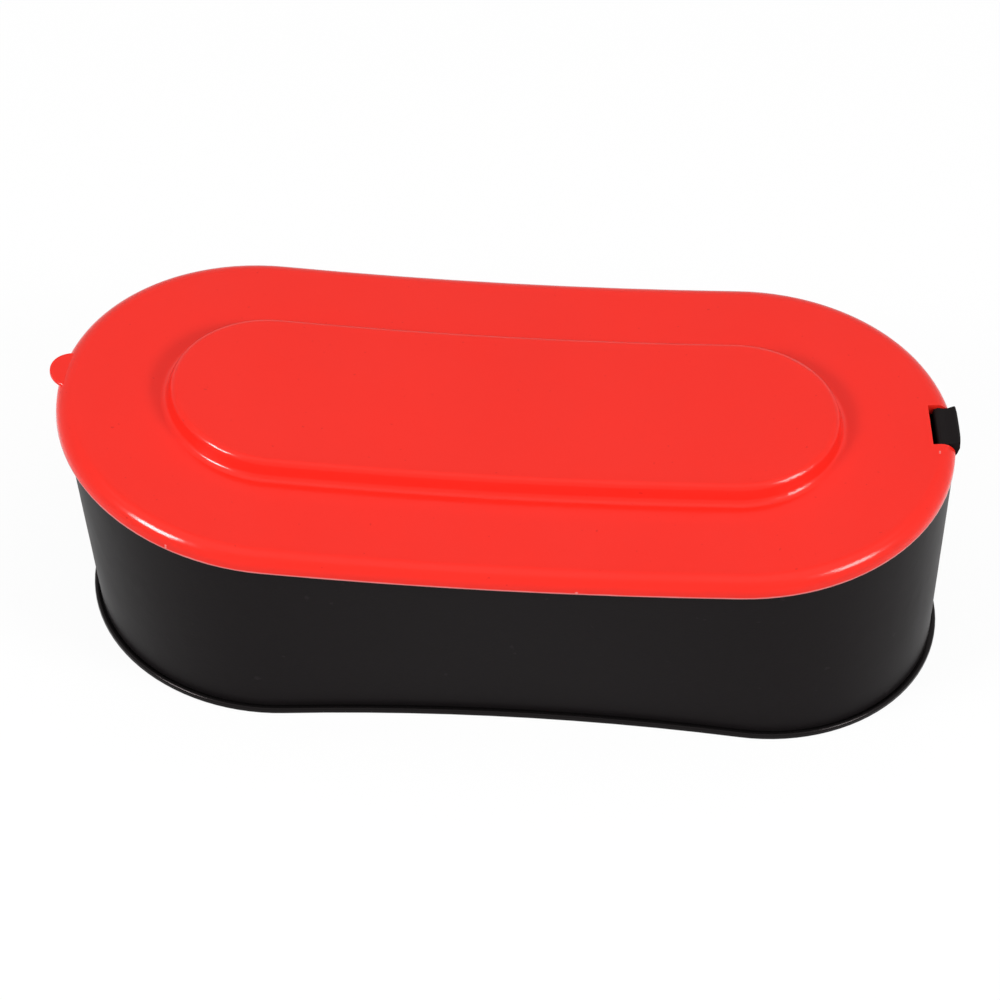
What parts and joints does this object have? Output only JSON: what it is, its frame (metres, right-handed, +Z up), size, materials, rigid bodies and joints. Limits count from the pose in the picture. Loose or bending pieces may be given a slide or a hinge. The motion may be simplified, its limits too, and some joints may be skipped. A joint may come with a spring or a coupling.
{
  "type": "lunch box",
  "caption": "Oblong pressed-metal lunch box whose hinged lid has a raised panel, a pull tab and a hinge clip at opposite ends, on a body with a rolled foot rim.",
  "frame": {"origin": "centre of the box's footprint, on the surface that it stands on", "axes": "+X along the box towards the hinge clip, +Y across it, away from the picture's viewer, +Z up"},
  "size_m": [0.2024, 0.096, 0.0611],
  "materials": {
    "lid_red": "glossy red enamel",
    "body_black": "satin black enamel",
    "rim_black": "semi-gloss black enamel",
    "clip_black": "matt black moulding",
    "pin_steel": "drawn wire"
  },
  "bodies": {
    "box": {"body_wall": "body_black", "bottom_rim": "rim_black", "base_plate": "body_black", "hinge_clip": "clip_black"},
    "lid": {"lid_shell": "lid_red", "hinge_pin": "pin_steel"}
  },
  "joints": [
    {"name": "lid_hinge", "type": "hinge", "parent": "box", "child": "lid", "pos_m": [0.09876, 0.00311, 0.05444], "axis": [-0.0662, 0.9978, -0.0035], "range_deg": [0, 105]}
  ]
}
